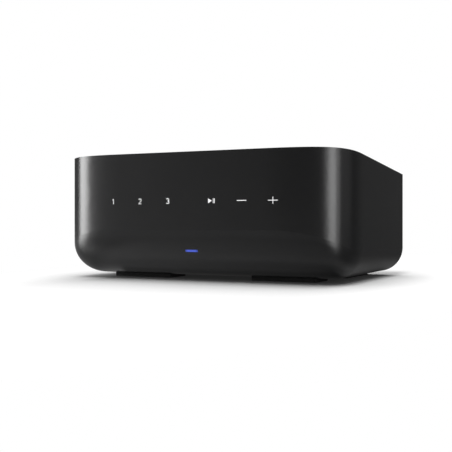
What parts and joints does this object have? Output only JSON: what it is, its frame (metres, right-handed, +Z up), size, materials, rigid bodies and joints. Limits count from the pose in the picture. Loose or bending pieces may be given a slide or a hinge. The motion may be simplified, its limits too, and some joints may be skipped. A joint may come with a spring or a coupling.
{
  "type": "multiroom amplifier",
  "caption": "Compact streaming stereo amplifier: rounded black tub with touch keys in front, a sloping inset lid, rubber feet, and sockets, speaker posts and a mains switch behind.",
  "frame": {"origin": "on the surface the feet stand on, in the middle of the overall width and depth (bounding box bottom centre)", "axes": "+Z up, the keys face -Y, the connectors face +Y, +X to the right seen from the front"},
  "size_m": [0.2, 0.1436, 0.0803],
  "materials": {
    "satin_black_abs": "satin moulded black",
    "black_rubber": "matt",
    "black_moulding": "fine matt",
    "painted_steel": "fine black powder coat",
    "zinc_steel": "plated",
    "black_steel": "blackened",
    "gold_plated_brass": "bright plated",
    "nickel_brass": "bright nickel",
    "red_cap": "clear red-tinted",
    "black_cap": "gloss black",
    "white_moulding": "satin",
    "clear_light_pipe": "clear blue-lit acrylic",
    "touch_film": "clear film with copper tracks",
    "circuit_board": "green solder mask",
    "chip_epoxy": "matt black epoxy",
    "lamp_white": "moulded",
    "black_aluminium": "black anodised",
    "plain_aluminium": "mill finish",
    "capacitor_sleeve": "shrunk sleeve",
    "ferrite": "sintered",
    "wound_copper": "enamelled copper under yellow tape",
    "lead_sleeve": "soft sleeve"
  },
  "bodies": {
    "amplifier": {"antennas": "plain_aluminium", "aux_jack": "black_moulding", "board_screws": "zinc_steel", "cooling_plate": "plain_aluminium", "cover_screws": "black_steel", "ethernet_contacts": "gold_plated_brass", "ethernet_insert": "black_moulding", "ethernet_shield": "zinc_steel", "feet": "black_rubber", "heat_sink": "black_aluminium", "housing": "satin_black_abs", "key_lamps": "lamp_white", "light_frame": "black_moulding", "main_board": "circuit_board", "mains_blades": "nickel_brass", "mains_choke": "wound_copper", "mains_inlet": "black_moulding", "mains_leads": "lead_sleeve", "optical_socket": "black_moulding", "output_coils": "chip_epoxy", "panel_screws": "black_steel", "phono_block": "black_moulding", "phono_inserts_left": "white_moulding", "phono_inserts_right": "red_cap", "phono_sleeves": "gold_plated_brass", "power_board": "circuit_board", "power_chips": "chip_epoxy", "power_link": "wound_copper", "radio_module": "circuit_board", "radio_shield": "zinc_steel", "rail_capacitors": "capacitor_sleeve", "rear_panel": "painted_steel", "reservoir_capacitors": "capacitor_sleeve", "setup_switch": "black_moulding", "speaker_leads": "lead_sleeve", "status_light_bar": "clear_light_pipe", "switch_frame": "black_moulding", "terminal_inner_plate": "black_moulding", "terminal_nuts": "gold_plated_brass", "terminal_plate": "black_moulding", "terminal_studs": "gold_plated_brass", "top_cover": "satin_black_abs", "touch_board": "circuit_board", "touch_film": "touch_film", "touch_flex": "touch_film", "transformer_coil": "wound_copper", "transformer_core": "ferrite", "usb_shield": "zinc_steel", "usb_tongue": "black_moulding"},
    "power_rocker": {"power_rocker": "satin_black_abs"},
    "setup_button": {"setup_button": "satin_black_abs"},
    "optical_shutter": {"optical_shutter": "black_moulding"},
    "clamp_left_plus": {"ring_left_plus": "nickel_brass"},
    "cap_left_plus": {"cap_left_plus": "red_cap"},
    "clamp_left_minus": {"ring_left_minus": "nickel_brass"},
    "cap_left_minus": {"cap_left_minus": "black_cap"},
    "clamp_right_plus": {"ring_right_plus": "nickel_brass"},
    "cap_right_plus": {"cap_right_plus": "red_cap"},
    "clamp_right_minus": {"ring_right_minus": "nickel_brass"},
    "cap_right_minus": {"cap_right_minus": "black_cap"}
  },
  "joints": [
    {"name": "power_switch", "type": "hinge", "parent": "amplifier", "child": "power_rocker", "pos_m": [0.06972, 0.0491, 0.05282], "axis": [1, 0, 0], "range_deg": [0, 20]},
    {"name": "setup_press", "type": "slide", "parent": "amplifier", "child": "setup_button", "axis": [0, -1, 0], "range_m": [0, 0.0006], "stiffness_N_per_m": 600, "springref_m": -0.0005},
    {"name": "shutter_swing", "type": "hinge", "parent": "amplifier", "child": "optical_shutter", "pos_m": [-0.02161, 0.0479, 0.0229], "axis": [-1, 0, 0], "range_deg": [0, 85], "stiffness_Nm_per_rad": 0.0002, "springref_deg": -17.19},
    {"name": "clamp_slide_left_plus", "type": "slide", "parent": "amplifier", "child": "clamp_left_plus", "axis": [0, 1, 0], "range_m": [0, 0.004]},
    {"name": "cap_turn_left_plus", "type": "hinge", "parent": "clamp_left_plus", "child": "cap_left_plus", "pos_m": [0.02494, 0.0568, 0.045], "axis": [0, 1, 0], "range_deg": [0, 1800]},
    {"name": "clamp_slide_left_minus", "type": "slide", "parent": "amplifier", "child": "clamp_left_minus", "axis": [0, 1, 0], "range_m": [0, 0.004]},
    {"name": "cap_turn_left_minus", "type": "hinge", "parent": "clamp_left_minus", "child": "cap_left_minus", "pos_m": [0.02494, 0.0568, 0.026], "axis": [0, 1, 0], "range_deg": [0, 1800]},
    {"name": "clamp_slide_right_plus", "type": "slide", "parent": "amplifier", "child": "clamp_right_plus", "axis": [0, 1, 0], "range_m": [0, 0.004]},
    {"name": "cap_turn_right_plus", "type": "hinge", "parent": "clamp_right_plus", "child": "cap_right_plus", "pos_m": [0.04394, 0.0568, 0.045], "axis": [0, 1, 0], "range_deg": [0, 1800]},
    {"name": "clamp_slide_right_minus", "type": "slide", "parent": "amplifier", "child": "clamp_right_minus", "axis": [0, 1, 0], "range_m": [0, 0.004]},
    {"name": "cap_turn_right_minus", "type": "hinge", "parent": "clamp_right_minus", "child": "cap_right_minus", "pos_m": [0.04394, 0.0568, 0.026], "axis": [0, 1, 0], "range_deg": [0, 1800]}
  ],
  "couplings": [
    {"joint": "cap_turn_left_plus", "follows": "clamp_slide_left_plus", "rad_per_m": 7854},
    {"joint": "cap_turn_left_minus", "follows": "clamp_slide_left_minus", "rad_per_m": 7854},
    {"joint": "cap_turn_right_plus", "follows": "clamp_slide_right_plus", "rad_per_m": 7854},
    {"joint": "cap_turn_right_minus", "follows": "clamp_slide_right_minus", "rad_per_m": 7854}
  ]
}
